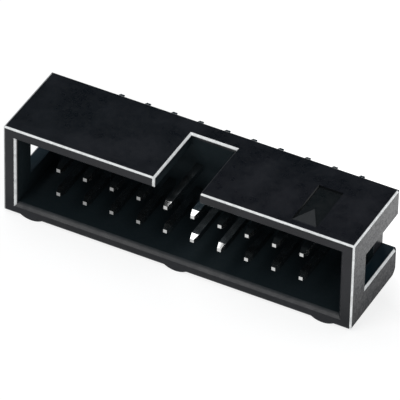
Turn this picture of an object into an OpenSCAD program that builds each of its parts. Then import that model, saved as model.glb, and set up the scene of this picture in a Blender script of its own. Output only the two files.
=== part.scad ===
// Box header for a flat ribbon cable connector: a moulded shroud around two
// rows of square contacts, with straight tails that are soldered into a board.
// +X runs along the rows, +Y points out of the board face with the tails, and
// +Z points through the wall that has the key slot. The origin is the middle of
// the contact grid on the board face, and the part lies on its plain long wall.

/* [Contacts] */
// Distance between neighbouring contacts in a row
pitch = 2.54; // [2:0.01:4]
// Distance between the two rows
row_pitch = 2.54; // [2:0.01:3.6]
// Number of contacts in each row
columns = 10; // [3:1:25]
// Side of the square contact wire
contact_w = 0.64; // [0.46:0.02:0.8]
// Distance of the contact tips below the rim
tip_recess = 0.5; // [0:0.05:2]
// Length of the solder tails behind the board face
tail_length = 3.5; // [1.5:0.1:6]
// Side of the flat at the end of a mating tip
tip_flat = 0.34; // [0.1:0.02:0.44]
// Length of the taper of a mating tip
tip_taper = 0.6; // [0.2:0.05:1.2]
// Side of the flat at the end of a tail
tail_flat = 0.4; // [0.1:0.02:0.44]
// Length of the taper of a tail
tail_taper = 0.45; // [0.2:0.05:1.2]
// Height of the retention barbs on two sides of a contact
barb_h = 0.08; // [0.04:0.01:0.2]
// Length of a barb, which slopes down towards the tail
barb_l = 0.8; // [0.4:0.05:1]

/* [Housing] */
// From the last contact of a row to the outside of the end wall
end_margin = 5; // [4:0.05:8]
// From the board face to the rim
housing_depth = 8.5; // [7:0.1:14]
// Across the rows, from the plain long wall to the slotted one
housing_h = 9; // [8.4:0.1:12]
// Thickness of the base that holds the contacts
base_t = 1.8; // [1.5:0.1:3]
// Thickness of the two long walls
long_wall = 1.1; // [0.9:0.05:1.4]
// Thickness of the two end walls
end_wall = 1.25; // [0.9:0.05:1.3]
// Radius of the small outer edges
edge_r = 0.18; // [0.05:0.01:0.3]
// Radius of the long edge between the board face and the plain wall
board_edge_r = 1.2; // [0.4:0.1:1.4]
// Lead-in bevel at the rim of the plain long wall
lead_in = 0.4; // [0.2:0.05:0.6]
// Lead-in bevel at the rim of the end walls
end_lead_in = 0.25; // [0.1:0.05:0.5]
// Small bevel on the edges of the openings
edge_break = 0.18; // [0.05:0.01:0.3]
// Bevel around each contact hole on the board face
hole_lead_in = 0.15; // [0.05:0.01:0.3]

/* [Key slot] */
// Width of the slot that takes the key of the cable connector
slot_w = 4.2; // [3:0.1:6]

/* [End notches] */
// Width of the notch in each end wall
notch_w = 3.6; // [2.5:0.1:5]
// Length of the notch from the board face towards the rim
notch_l = 6; // [3:0.1:6.4]
// How far the base lies back from the end wall in the notch
notch_cut = 1.35; // [1.35:0.05:2]

/* [Ribs on the plain wall] */
// Width of a rib at its foot
rib_w = 1.7; // [1:0.1:3]
// Height of a rib at its crown
rib_h = 0.2; // [0.1:0.05:0.5]
// Run of the slope where a rib ends
rib_slope = 0.35; // [0.1:0.05:0.4]
// Distance of the outer ribs from the ends
rib_inset = 2.65; // [1.6:0.05:4]

/* [First contact mark] */
// Width of the pocket over the first contact
mark_w = 2.3; // [1.5:0.1:3]
// Length of the pocket
mark_l = 5.1; // [3:0.1:5.5]
// Depth of the pocket
mark_depth = 0.2; // [0.1:0.02:0.4]
// Distance of the pocket from the rim
mark_inset = 0.7; // [0.4:0.05:1.2]
// From the base of the triangle in the pocket to its point
arrow_l = 2; // [1:0.1:2.5]
// How far the point of the triangle stands above the wall
arrow_rise = 0.1; // [0:0.01:0.2]

/* [Hidden] */
$fn = 48;
rows = 2;
// How far a cutting shape reaches past the face that it opens
past = 1;
length = (columns - 1) * pitch + 2 * end_margin;
rim_y = -housing_depth;
floor_y = -base_t;
top_z = housing_h / 2;
tip_y = rim_y + tip_recess;
barb_y = floor_y / 2;
first_x = (columns - 1) / 2 * pitch;
rib_places = [rib_inset - length / 2, 0, length / 2 - rib_inset];

// Odd contacts lie along the slotted wall, and the first is at the +X end
NUMBERS = [for (number = [1:rows * columns]) number];
function pin_name(number) = str("pin_", number < 10 ? "0" : "", number);
function pin_x(number) = first_x - floor((number - 1) / rows) * pitch;
function pin_z(number) = (number % rows == 1 ? 1 : -1) * row_pitch / 2;

// Extrudes a (Y, Z) outline along X, centred on the origin
module along_x(size) {
    rotate([90, 0, 90])
        linear_extrude(size, center = true) children();
}

// Extrudes an (X, Z) outline along Y, from one place to another
module along_y(from, to) {
    translate([0, to, 0])
        rotate([90, 0, 0])
            linear_extrude(to - from) children();
}

// A rectangle between two corners, with its own corners rounded
module rounded(low, high, radius) {
    translate([low.x + radius, low.y])
        square([high.x - low.x - 2 * radius, high.y - low.y]);
    translate([low.x, low.y + radius])
        square([high.x - low.x, high.y - low.y - 2 * radius]);
    for (x = [low.x + radius, high.x - radius], y = [low.y + radius, high.y - radius])
        translate([x, y])
            circle(radius);
}

// One view of a pocket in the face at height 0, which widens by a bevel on
// each side where it leaves the face
function mouth(low, high, depth, low_bevel, high_bevel) = [
    [low, -depth],
    [high, -depth],
    [high, -high_bevel],
    [high + high_bevel + past, past],
    [low - low_bevel - past, past],
    [low, -low_bevel]
];

// A pocket that opens upwards at height 0, with mitred bevels in the order
// low X, high X, low Y, high Y
module pocket(low, high, depth, bevels) {
    reach = 2 * (norm(low) + norm(high) + past);
    intersection() {
        rotate([90, 0, 0])
            linear_extrude(reach, center = true)
                polygon(mouth(low.x, high.x, depth, bevels[0], bevels[1]));
        along_x(reach)
            polygon(mouth(low.y, high.y, depth, bevels[2], bevels[3]));
    }
}

// The block seen along its length, with the large radius at the board face
module side_outline() {
    difference() {
        rounded([rim_y, -top_z], [0, top_z], edge_r);
        translate([-board_edge_r, -top_z - past])
            square(board_edge_r + past);
    }
    translate([-board_edge_r, board_edge_r - top_z])
        circle(board_edge_r);
}

// The outer block is where its three rounded outlines meet
module block() {
    intersection() {
        along_x(length + past) side_outline();
        along_y(rim_y - past, past)
            rounded([-length / 2, -top_z], [length / 2, top_z], edge_r);
        linear_extrude(housing_h + past, center = true)
            rounded([-length / 2, rim_y], [length / 2, 0], edge_r);
    }
}

// The cavity that the cable connector plugs into
module cavity() {
    half = [length / 2 - end_wall, housing_h / 2 - long_wall];
    translate([0, rim_y, 0])
        rotate([90, 0, 0])
            pocket(
                -half, half, housing_depth - base_t,
                [end_lead_in, end_lead_in, lead_in, edge_break]
            );
}

// The key slot runs from the rim to the floor of the cavity
module key_slot() {
    translate([0, 0, top_z])
        pocket(
            [-slot_w / 2, rim_y - past], [slot_w / 2, floor_y],
            long_wall + past, [edge_break, edge_break, 0, edge_break]
        );
    translate([0, rim_y, 0])
        rotate([90, 0, 0])
            pocket([-slot_w / 2, 0], [slot_w / 2, top_z + past], lead_in, [edge_break, edge_break, 0, 0]);
}

// The notch at the +X end is open to the board and, past the base, to the cavity
module end_notch() {
    translate([length / 2, 0, 0])
        rotate([0, 90, 0])
            pocket(
                [-notch_w / 2, -notch_l], [notch_w / 2, past],
                notch_cut, [edge_break, edge_break, edge_break, 0]
            );
}

// A low rib with a round crown, from the rim to the large radius
module rib() {
    foot_z = -top_z;
    crown_z = foot_z - rib_h;
    root_z = foot_z + rib_h;
    crown_r = (pow(rib_w / 2, 2) + pow(rib_h, 2)) / (2 * rib_h);
    intersection() {
        along_y(rim_y, 0)
            translate([0, crown_z + crown_r])
                circle(crown_r);
        along_x(rib_w + past)
            polygon([
                [rim_y, root_z],
                [rim_y, crown_z],
                [-board_edge_r - rib_slope, crown_z],
                [-board_edge_r, foot_z],
                [-board_edge_r, root_z]
            ]);
    }
}

// The pocket in the slotted wall that marks the first contact
module mark_pocket() {
    mark_y = rim_y + mark_inset;
    translate([first_x, 0, top_z])
        pocket([-mark_w / 2, mark_y], [mark_w / 2, mark_y + mark_l], mark_depth, [0, 0, 0, 0]);
}

// The triangle in the pocket points to the board, and its top slopes up to there
module mark_arrow() {
    mark_y = rim_y + mark_inset;
    point_y = mark_y + arrow_l;
    root_z = top_z - 2 * mark_depth;
    intersection() {
        linear_extrude(top_z + past)
            polygon([
                [first_x - mark_w / 2, mark_y],
                [first_x + mark_w / 2, mark_y],
                [first_x, point_y]
            ]);
        along_x(length)
            polygon([
                [mark_y, root_z],
                [mark_y, top_z],
                [point_y, top_z + arrow_rise],
                [point_y, root_z]
            ]);
    }
}

// Half of a contact's outline: the place along Y, and the distance from its axis
function contact_half(barb) = concat(
    [[tip_y, tip_flat / 2], [tip_y + tip_taper, contact_w / 2]],
    barb == 0 ? [] : [
        [barb_y - barb_l / 2, contact_w / 2],
        [barb_y - barb_l / 2, contact_w / 2 + barb],
        [barb_y, contact_w / 2 + barb],
        [barb_y + barb_l / 2, contact_w / 2]
    ],
    [[tail_length - tail_taper, contact_w / 2], [tail_length, tail_flat / 2]]
);

// One view of a contact, as a long bar in the direction that it is seen from
module contact_view(barb) {
    half = contact_half(barb);
    along_x(2 * contact_w)
        polygon(concat(half, [for (k = [len(half) - 1:-1:0]) [half[k].x, -half[k].y]]));
}

// A square contact with a barb on its two sides along the row
module contact() {
    intersection() {
        contact_view(0);
        rotate([0, 90, 0]) contact_view(barb_h);
    }
}

// The bevel around a contact's hole on the board face
module hole_mouth() {
    half = [contact_w, contact_w] / 2;
    rotate([-90, 0, 0])
        pocket(-half, half, hole_lead_in, [for (side = [1:4]) hole_lead_in]);
}

module at_pin(number) {
    translate([pin_x(number), 0, pin_z(number)]) children();
}

module housing() {
    color("#1b1e21")
        difference() {
            union() {
                difference() {
                    block();
                    cavity();
                    key_slot();
                    end_notch();
                    mirror([1, 0, 0]) end_notch();
                    mark_pocket();
                }
                mark_arrow();
                for (x = rib_places)
                    translate([x, 0, 0]) rib();
            }
            for (number = NUMBERS)
                at_pin(number) {
                    contact();
                    hole_mouth();
                }
        }
}

module pin(number) {
    color("#cfcdc6")
        at_pin(number) contact();
}

housing();
for (number = NUMBERS)
    pin(number);
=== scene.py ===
"""Studio view of a shrouded box header: a black moulded housing with tinned square pins."""
import math

import bpy
from mathutils import Matrix, Vector


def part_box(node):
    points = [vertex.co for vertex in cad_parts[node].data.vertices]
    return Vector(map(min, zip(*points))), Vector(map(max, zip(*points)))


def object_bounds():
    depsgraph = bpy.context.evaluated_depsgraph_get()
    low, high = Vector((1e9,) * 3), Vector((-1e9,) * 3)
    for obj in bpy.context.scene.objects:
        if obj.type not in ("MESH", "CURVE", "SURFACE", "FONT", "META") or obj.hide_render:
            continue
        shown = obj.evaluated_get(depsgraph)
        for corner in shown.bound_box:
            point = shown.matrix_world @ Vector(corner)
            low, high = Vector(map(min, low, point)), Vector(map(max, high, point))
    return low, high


MM = 0.001

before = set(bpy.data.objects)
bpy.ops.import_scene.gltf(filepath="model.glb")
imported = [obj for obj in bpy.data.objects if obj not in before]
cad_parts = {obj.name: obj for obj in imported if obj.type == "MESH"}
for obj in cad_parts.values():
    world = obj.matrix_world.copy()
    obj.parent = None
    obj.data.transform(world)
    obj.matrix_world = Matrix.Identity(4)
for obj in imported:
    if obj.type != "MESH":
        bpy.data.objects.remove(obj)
cad_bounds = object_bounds()

# ---------------------------------------------------------------------- studio
CAMERA_AZIMUTH = 26.76
CAMERA_ELEVATION = 39.41
CAMERA_ROLL = 1.27
CAMERA_DISTANCE = 0.4557
CAMERA_LENS = 489.3
CAMERA_SENSOR = 36.0
CAMERA_CLIP_START = 0.01
# Where the camera looks, from the middle of the housing
CAMERA_AIM = Vector((0.06, -0.01, -0.05)) * MM

LIGHT_DISTANCE = 0.8
# Name, azimuth, elevation, width, height and power of each light
LIGHTS = (
    ("key", 50, 38, 0.6, 0.6, 1.6),
    ("overhead", -118, 70, 0.55, 0.55, 2.6),
    ("behind", 137, 24, 0.8, 0.5, 1.6),
    ("front", -29, 44, 0.5, 0.4, 2.4),
)
WORLD_COLOUR = (0.025, 0.04, 0.05)

FLOOR_HALF = 6.0
FLOOR_COLOUR = (0.3, 0.3, 0.3)
FLOOR_ROUGHNESS = 0.9
FLOOR_GLOW_COLOUR = (1.0, 1.0, 1.0)
# The glow rises towards the back, and half as fast towards the right
FLOOR_GLOW = (0.78, 1.5)
FLOOR_GLOW_RANGE = (5 * MM, 25 * MM)
FLOOR_GLOW_SLANT = 0.5

# --------------------------------------------------------- places on the object
# How far these stand out of the block of the housing
RIB_HEIGHT = 0.2 * MM
ARROW_RISE = 0.1 * MM

# Each border is a place on an axis, or its offset from a face that is given with
# it, and half the width of its soft edge. Offsets run the way of the axis.
CAVITY_FLOOR = (-1.7 * MM, 0.05 * MM)
INSIDE_FROM_RIM = (0.35 * MM, 0.15 * MM)
INSIDE_FROM_END = (-1.1 * MM, 0.05 * MM)
INSIDE_FROM_TOP = (-0.4 * MM, 0.05 * MM)
NOTCH_OUTER_END = (-0.12 * MM, 0.05 * MM)
NOTCH_INNER_END = (-1.3 * MM, 0.02 * MM)
NOTCH_HALF_WIDTH = (1.82 * MM, 0.01 * MM)
NOTCH_FROM_RIM = (2.4 * MM, 0.05 * MM)
END_FACE = (-0.02 * MM, 0.01 * MM)
END_DULL_RANGE = (1.2 * MM, -3.8 * MM)
RIM_FACE = (0.02 * MM, 0.01 * MM)
LOWER_LAND = (0.0, 1 * MM)
MARK_SIDE = (10 * MM, 0.02 * MM)
POCKET_TOP = (-0.1 * MM, 0.03 * MM)
POCKET_FLOOR = (-0.3 * MM, 0.03 * MM)
ARROW_TOP = (0.005 * MM, 0.003 * MM)
# Where the painted highlight on the pocket wall that faces +X lies
HIGHLIGHT_WALL = (11 * MM, 0.1 * MM)
HIGHLIGHT_FACING = (0.9, 0.05)
HIGHLIGHT_FROM = (-5.5 * MM, 0.8 * MM)
HIGHLIGHT_BOTTOM = (-0.22 * MM, 0.01 * MM)

# How far the pale edges, wear with a painted highlight, reach in from the outer faces, and where
# there are none
WEAR_AND_HIGHLIGHT_FROM_LOW = (0.17 * MM, 0.03 * MM)
WEAR_AND_HIGHLIGHT_FROM_HIGH = (-0.17 * MM, 0.03 * MM)
LEAD_IN_FROM_RIM = (1 * MM, 0.1 * MM)
LEAD_IN_TOP = (0.0, 0.1 * MM)
BOARD_SIDE = (-0.25 * MM, 0.03 * MM)

# The tips at the -X end of the rows, painted darker as painted shade, and the shafts behind all
# the tips
SHADED_TIP_SIDE = (-2.2 * MM, 1.6 * MM)
SHADED_TIP = (-7.2 * MM, 0.3 * MM)
SHAFT_FROM = (-7.3 * MM, 0.1 * MM)

# Ranges of a part of the surface's normal
TILTED_RANGE = (0.995, 0.94)
NOT_DOWN_RANGE = (-0.25, -0.05)
UPWARD_RANGE = (0.2, 0.4)
NOT_LOW_X_RANGE = (-0.5, -0.2)

# -------------------------------------------------------------------- finishes
# Noises: scale per metre, detail and roughness
FLOW = (320.0, 4.0, 0.55)
STAIN = (90.0, 2.0, 0.5)
GRAIN = (5200.0, 2.0, 0.6)
SPECKS = (1800.0, 3.0, 0.5)
DRAWING_LINES = (9000.0, 2.0, 0.5)
MOTTLE = (1400.0, 3.0, 0.5)
# Squeezes a noise along the wire into drawing lines
DRAWN = (1.0, 0.05, 1.0)

# Ranges of a noise over which a finish changes
FULL_RANGE = (0.3, 0.7)
STAIN_RANGE = (0.35, 0.65)
FLOW_RANGE = (0.38, 0.62)
PALE_GRAIN_RANGE = (0.5, 0.75)
WEAR_AND_HIGHLIGHT_RANGE = (0.3, 0.6)
FINE_RANGE = (0.35, 0.65)

# Colours are in linear light. The stains mix the plastic's pairs, and the flow
# marks mix the dark result with the pale one.
PLASTIC_DARK = ((0.0008, 0.0022, 0.0044), (0.0032, 0.0037, 0.0064))
PLASTIC_PALE = ((0.003, 0.0048, 0.008), (0.0088, 0.0093, 0.0132))
# Lighter teal in the cavity: painted fill light
INSIDE_PAINTED_LIGHT_COLOUR = (0.0022, 0.0084, 0.0115)
# Lighter teal on the walls of the end notches: painted fill light
NOTCH_PAINTED_LIGHT_COLOUR = (0.006, 0.017, 0.025)
GRAIN_COLOUR = (0.015, 0.016, 0.0185)
GRAIN_SHARE = (0.0, 0.3)
POCKET_COLOUR = (0.0018, 0.0034, 0.0044)
ARROW_COLOUR = (0.022, 0.024, 0.026)
# Painted highlight on the pocket wall that faces the light
POCKET_WALL_HIGHLIGHT_COLOUR = (0.11, 0.11, 0.11)
# Pale edges: wear with a painted highlight
WEAR_AND_HIGHLIGHT_COLOUR = (0.92, 0.93, 0.93)
WEAR_AND_HIGHLIGHT_SHARE = (0.75, 1.0)
# Share of the pale edges, wear with a painted highlight, that is left on edges that face -X, away
# from the key light
HIGHLIGHT_LOW_X_SHARE = 0.04

PLASTIC_IOR = 1.35
PLASTIC_ROUGHNESS = (0.27, 0.36)
SPECK_ROUGHNESS = (-0.03, 0.03)
END_GRAIN_ROUGHNESS = (-0.12, 0.12)
INSIDE_ROUGHNESS = 0.5
DULL_ROUGHNESS = 0.27

TIN_COLOURS = ((0.5, 0.505, 0.505), (0.67, 0.67, 0.66))
TIN_ROUGHNESS = (0.12, 0.2)
TIN_METALLIC = 0.992
# Painted shade on the tips towards the -X end of the rows
SHADED_TIP_COLOUR = (0.22, 0.22, 0.22)
SHADED_TIP_SHARE = 0.85
# Painted shade on the pin shafts in the cavity
SHADED_SHAFT_COLOUR = (0.2, 0.25, 0.28)
SHADED_SHAFT_SHARE = 0.5

# Bumps: strength and distance
GRAIN_BUMP = (0.5, 0.007 * MM)
FLOW_BUMP = (0.35, 0.012 * MM)
DRAWING_BUMP = (0.12, 0.002 * MM)


# --------------------------------------------------------------------- placing
def direction(azimuth, elevation):
    """Unit vector from the object to a place. Azimuth 0 is in front, along -Y, and 90 along +X."""
    a, e = math.radians(azimuth), math.radians(elevation)
    return Vector((math.sin(a) * math.cos(e), -math.cos(a) * math.cos(e), math.sin(e)))


def aim(obj, place, target, roll=0.0):
    """Puts obj at a place, looking along its own -Z at the target."""
    turn = (target - place).normalized().to_track_quat("-Z", "Y").to_matrix().to_4x4()
    tilt = Matrix.Rotation(math.radians(roll), 4, "Z")
    obj.matrix_world = Matrix.Translation(place) @ turn @ tilt


def add(name, data):
    obj = bpy.data.objects.new(name, data)
    bpy.context.scene.collection.objects.link(obj)
    return obj


# ---------------------------------------------------------------- node helpers
def new_material(name):
    material = bpy.data.materials.new(name)
    material.use_nodes = True
    tree = material.node_tree
    return material, tree, tree.nodes["Principled BSDF"]


def opaque(colour):
    return (*colour, 1.0)


def feed(tree, socket, value):
    """Links a socket to the output of another node, or sets it to a constant."""
    if isinstance(value, bpy.types.NodeSocket):
        tree.links.new(value, socket)
    else:
        socket.default_value = value


def node(tree, kind, settings=None, **inputs):
    n = tree.nodes.new(kind)
    for key, value in (settings or {}).items():
        setattr(n, key, value)
    for key, value in inputs.items():
        feed(tree, n.inputs[key.replace("_", " ")], value)
    return n


def operate(tree, kind, operation, *values):
    n = node(tree, kind, {"operation": operation})
    for socket, value in zip(n.inputs, values):
        feed(tree, socket, value)
    return n.outputs[0]


def chain(tree, operation, first, *others):
    """Joins any number of values, one after the other, by an operation."""
    for other in others:
        first = operate(tree, "ShaderNodeMath", operation, first, other)
    return first


def product(tree, *values):
    return chain(tree, "MULTIPLY", *values)


def largest(tree, *values):
    return chain(tree, "MAXIMUM", *values)


def inverse(tree, value):
    return chain(tree, "SUBTRACT", 1.0, value)


def distance(tree, value):
    """How far a coordinate is from 0, on either side."""
    return operate(tree, "ShaderNodeMath", "ABSOLUTE", value)


def coordinates(tree, kind):
    return node(tree, "ShaderNodeTexCoord").outputs[kind]


def split(tree, vector):
    return node(tree, "ShaderNodeSeparateXYZ", Vector=vector).outputs


def noise(tree, vector, kind):
    scale, detail, roughness = kind
    return node(
        tree, "ShaderNodeTexNoise",
        Vector=vector, Scale=scale, Detail=detail, Roughness=roughness,
    ).outputs["Fac"]


def ramp(tree, value, over, to=(0.0, 1.0)):
    """Follows a value over a range, from one result to another, and is level beyond it."""
    return node(
        tree, "ShaderNodeMapRange", {"clamp": True},
        Value=value, From_Min=over[0], From_Max=over[1], To_Min=to[0], To_Max=to[1],
    ).outputs["Result"]


def above(tree, value, border, face=0.0):
    """Rises from 0 to 1 across a border."""
    edge, half = face + border[0], border[1]
    return ramp(tree, value, (edge - half, edge + half))


def below(tree, value, border, face=0.0):
    """Falls from 1 to 0 across a border."""
    edge, half = face + border[0], border[1]
    return ramp(tree, value, (edge + half, edge - half))


def mix_colour(tree, factor, a, b):
    """Goes from colour a to colour b. A colour is three numbers or a socket."""
    n = node(tree, "ShaderNodeMix", {"data_type": "RGBA"})
    feed(tree, n.inputs[0], factor)
    for socket, colour in ((n.inputs[6], a), (n.inputs[7], b)):
        feed(tree, socket, opaque(colour) if isinstance(colour, tuple) else colour)
    return n.outputs[2]


def bump(tree, height, kind, normal=None):
    strength, depth = kind
    n = node(tree, "ShaderNodeBump", Strength=strength, Distance=depth, Height=height)
    if normal is not None:
        feed(tree, n.inputs["Normal"], normal)
    return n.outputs["Normal"]


# --------------------------------------------------------------------- housing
def edge_wear_and_highlight(tree, where, low, high):
    """Wear with a painted edge highlight: 1 on the outer edges' small rounds and bevels, apart
    from the plain wall's lead-in.
    """
    normal = coordinates(tree, "Normal")
    size = split(tree, operate(tree, "ShaderNodeVectorMath", "ABSOLUTE", normal))
    facing = split(tree, normal)
    tilted = ramp(tree, largest(tree, size["X"], size["Y"], size["Z"]), TILTED_RANGE)
    not_down = ramp(tree, facing["Z"], NOT_DOWN_RANGE)
    lead_in = product(
        tree, ramp(tree, facing["Z"], UPWARD_RANGE),
        below(tree, where["Z"], LEAD_IN_TOP, low.z / 2),
        below(tree, where["Y"], LEAD_IN_FROM_RIM, low.y),
    )
    # The deep part of a bevel isn't made pale
    shallow = largest(
        tree, below(tree, where["Y"], WEAR_AND_HIGHLIGHT_FROM_LOW, low.y),
        below(tree, where["X"], WEAR_AND_HIGHLIGHT_FROM_LOW, low.x),
        above(tree, where["X"], WEAR_AND_HIGHLIGHT_FROM_HIGH, high.x),
        above(tree, where["Z"], WEAR_AND_HIGHLIGHT_FROM_HIGH, high.z),
    )
    # Edges that face -X, away from the key light, get little of the painted highlight and wear,
    # and those at the board face none
    lit_and_exposed = product(
        tree, ramp(tree, facing["X"], NOT_LOW_X_RANGE, (HIGHLIGHT_LOW_X_SHARE, 1.0)),
        below(tree, where["Y"], BOARD_SIDE, high.y),
    )
    return product(tree, tilted, not_down, inverse(tree, lead_in), shallow, lit_and_exposed)


def housing_places(tree, where, low, high):
    """For each place that is finished in another way, a value of 1 there and 0 elsewhere."""
    across, height = distance(tree, where["X"]), distance(tree, where["Z"])
    facing = split(tree, coordinates(tree, "Normal"))
    at_mark = above(tree, where["X"], MARK_SIDE)
    end = above(tree, across, END_FACE, high.x)
    lower_land = product(
        tree, below(tree, where["Y"], RIM_FACE, low.y),
        below(tree, where["Z"], LOWER_LAND, low.z / 2),
    )
    return {
        # Inside of the shroud, where the tool was left matt, and coloured a lighter teal as
        # painted fill light
        "inside_matt_and_painted_light": product(
            tree, above(tree, where["Y"], INSIDE_FROM_RIM, low.y),
            below(tree, where["Y"], CAVITY_FLOOR),
            below(tree, across, INSIDE_FROM_END, high.x),
            below(tree, height, INSIDE_FROM_TOP, high.z),
        ),
        # Walls of the end notches, coloured a lighter teal as painted fill light
        "notch": product(
            tree, below(tree, across, NOTCH_OUTER_END, high.x),
            above(tree, across, NOTCH_INNER_END, high.x),
            below(tree, height, NOTCH_HALF_WIDTH),
            above(tree, where["Y"], NOTCH_FROM_RIM, low.y),
        ),
        # Outsides of the end walls
        "end": end,
        # The same, more and more towards the lower edge, and the lower land of the rim
        "dull": largest(
            tree, product(tree, end, ramp(tree, where["Z"], END_DULL_RANGE)), lower_land,
        ),
        # Floor of the pocket that marks the first contact
        "pocket": product(
            tree, at_mark, below(tree, where["Z"], POCKET_TOP, high.z),
            above(tree, where["Z"], POCKET_FLOOR, high.z),
        ),
        # Raised top of the triangle in the pocket
        "arrow": product(tree, at_mark, above(tree, where["Z"], ARROW_TOP, high.z)),
        # Wall of the pocket that faces +X, towards the key light, made pale as a painted highlight
        "pocket_wall_highlight": product(
            tree, at_mark, below(tree, where["X"], HIGHLIGHT_WALL),
            above(tree, facing["X"], HIGHLIGHT_FACING),
            above(tree, where["Y"], HIGHLIGHT_FROM),
            above(tree, where["Z"], HIGHLIGHT_BOTTOM, high.z),
        ),
    }


def housing_material():
    """Black glass-filled plastic: fine grain, soft flow marks, and pale along its edges as wear
    with a painted highlight; painted fill light in the cavity and end notches, and a painted
    highlight on one pocket wall.
    """
    material, tree, shader = new_material("housing_plastic")
    low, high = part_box("housing")
    low.z += RIB_HEIGHT
    high.z -= ARROW_RISE
    point = coordinates(tree, "Object")
    where = split(tree, point)
    flow, stain, grain, specks = (
        noise(tree, point, kind) for kind in (FLOW, STAIN, GRAIN, SPECKS)
    )
    places = housing_places(tree, where, low, high)
    # Pale edges: wear with a painted highlight on the edges that face the light
    wear_and_highlight = product(
        tree, edge_wear_and_highlight(tree, where, low, high), ramp(tree, specks, WEAR_AND_HIGHLIGHT_RANGE, WEAR_AND_HIGHLIGHT_SHARE),
    )

    stained = ramp(tree, stain, STAIN_RANGE)
    colour = mix_colour(
        tree, ramp(tree, flow, FLOW_RANGE),
        mix_colour(tree, stained, *PLASTIC_DARK), mix_colour(tree, stained, *PLASTIC_PALE),
    )
    for factor, over in (
        (places["inside_matt_and_painted_light"], INSIDE_PAINTED_LIGHT_COLOUR),
        (places["notch"], NOTCH_PAINTED_LIGHT_COLOUR),
        (ramp(tree, grain, PALE_GRAIN_RANGE, GRAIN_SHARE), GRAIN_COLOUR),
        (places["pocket"], POCKET_COLOUR),
        (places["arrow"], ARROW_COLOUR),
        (places["pocket_wall_highlight"], POCKET_WALL_HIGHLIGHT_COLOUR),
        (wear_and_highlight, WEAR_AND_HIGHLIGHT_COLOUR),
    ):
        colour = mix_colour(tree, factor, colour, over)
    feed(tree, shader.inputs["Base Color"], colour)

    end_grain = ramp(tree, grain, FINE_RANGE, END_GRAIN_ROUGHNESS)
    roughness = chain(
        tree, "ADD", ramp(tree, flow, FULL_RANGE, PLASTIC_ROUGHNESS),
        ramp(tree, specks, FINE_RANGE, SPECK_ROUGHNESS),
        product(tree, places["inside_matt_and_painted_light"], INSIDE_ROUGHNESS),
        product(tree, places["dull"], DULL_ROUGHNESS),
        product(tree, places["end"], end_grain),
    )
    feed(tree, shader.inputs["Roughness"], roughness)
    feed(tree, shader.inputs["IOR"], PLASTIC_IOR)
    relief = bump(tree, flow, FLOW_BUMP, bump(tree, grain, GRAIN_BUMP))
    feed(tree, shader.inputs["Normal"], relief)
    return material


# ------------------------------------------------------------------------ pins
def pin_material():
    """Bright tin over drawn brass wire: fine lines along the wire and a little mottling, with
    painted shade on the shafts in the cavity and on the tips towards -X.
    """
    material, tree, shader = new_material("pin_metal")
    point = coordinates(tree, "Object")
    where = split(tree, point)
    drawn = operate(tree, "ShaderNodeVectorMath", "MULTIPLY", point, DRAWN)
    lines = noise(tree, drawn, DRAWING_LINES)
    mottle = noise(tree, point, MOTTLE)
    # The cut tips are painted darker towards the -X end of the rows, a painted shade
    shaded_tip = product(
        tree, below(tree, where["X"], SHADED_TIP_SIDE), below(tree, where["Y"], SHADED_TIP),
    )
    # The tin is painted darker in the cavity, a painted shade
    shaded_shaft = product(
        tree, above(tree, where["Y"], SHAFT_FROM), below(tree, where["Y"], CAVITY_FLOOR),
    )
    colour = mix_colour(tree, ramp(tree, mottle, FULL_RANGE), *TIN_COLOURS)
    for place, share, over in (
        (shaded_tip, SHADED_TIP_SHARE, SHADED_TIP_COLOUR),
        (shaded_shaft, SHADED_SHAFT_SHARE, SHADED_SHAFT_COLOUR),
    ):
        colour = mix_colour(tree, product(tree, place, share), colour, over)
    feed(tree, shader.inputs["Base Color"], colour)
    feed(tree, shader.inputs["Metallic"], TIN_METALLIC)
    feed(tree, shader.inputs["Roughness"], ramp(tree, mottle, FULL_RANGE, TIN_ROUGHNESS))
    feed(tree, shader.inputs["Normal"], bump(tree, lines, DRAWING_BUMP))
    return material


def dress_nodes():
    plastic, metal = housing_material(), pin_material()
    for name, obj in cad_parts.items():
        obj.data.materials.clear()
        obj.data.materials.append(plastic if name == "housing" else metal)


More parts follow.
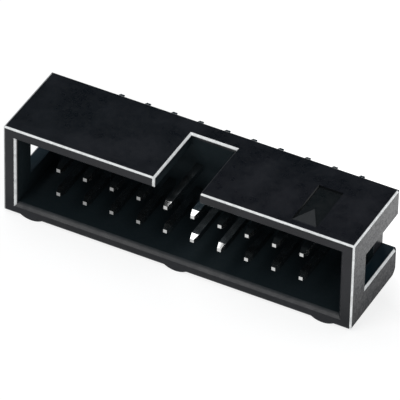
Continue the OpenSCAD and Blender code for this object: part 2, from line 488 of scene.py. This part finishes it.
# ------------------------------------------------------------------- the studio
def floor_material():
    """White light table, brighter towards the back and the right."""
    material, tree, shader = new_material("studio_floor")
    where = split(tree, coordinates(tree, "Object"))
    slant = chain(tree, "ADD", product(tree, where["X"], FLOOR_GLOW_SLANT), where["Y"])
    glow = ramp(tree, slant, FLOOR_GLOW_RANGE, FLOOR_GLOW)
    feed(tree, shader.inputs["Emission Strength"], glow)
    feed(tree, shader.inputs["Emission Color"], opaque(FLOOR_GLOW_COLOUR))
    feed(tree, shader.inputs["Base Color"], opaque(FLOOR_COLOUR))
    feed(tree, shader.inputs["Roughness"], FLOOR_ROUGHNESS)
    feed(tree, shader.inputs["Specular IOR Level"], 0.0)
    return material


def build_floor():
    low, _ = cad_bounds
    half = FLOOR_HALF
    corners = [(-half, -half, 0), (half, -half, 0), (half, half, 0), (-half, half, 0)]
    mesh = bpy.data.meshes.new("floor")
    mesh.from_pydata(corners, [], [(0, 1, 2, 3)])
    mesh.materials.append(floor_material())
    floor = add("floor", mesh)
    floor.location = (0, 0, low[2])


def build_lights():
    world = bpy.data.worlds.new("studio")
    bpy.context.scene.world = world
    world.use_nodes = True
    background = world.node_tree.nodes["Background"]
    background.inputs["Color"].default_value = opaque(WORLD_COLOUR)
    background.inputs["Strength"].default_value = 1.0
    for name, azimuth, elevation, width, height, power in LIGHTS:
        data = bpy.data.lights.new(name, "AREA")
        data.shape = "RECTANGLE"
        data.size = width
        data.size_y = height
        data.energy = power
        aim(add(name, data), direction(azimuth, elevation) * LIGHT_DISTANCE, Vector((0, 0, 0)))


def build_camera():
    data = bpy.data.cameras.new("camera")
    data.lens = CAMERA_LENS
    data.sensor_width = CAMERA_SENSOR
    data.clip_start = CAMERA_CLIP_START
    camera = add("camera", data)
    low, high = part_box("housing")
    centre = Vector((0, (low.y + high.y) / 2, 0)) + CAMERA_AIM
    place = centre + direction(CAMERA_AZIMUTH, CAMERA_ELEVATION) * CAMERA_DISTANCE
    aim(camera, place, centre, CAMERA_ROLL)
    bpy.context.scene.camera = camera


dress_nodes()
build_floor()
build_lights()
build_camera()
bpy.context.scene.view_settings.view_transform = "Standard"
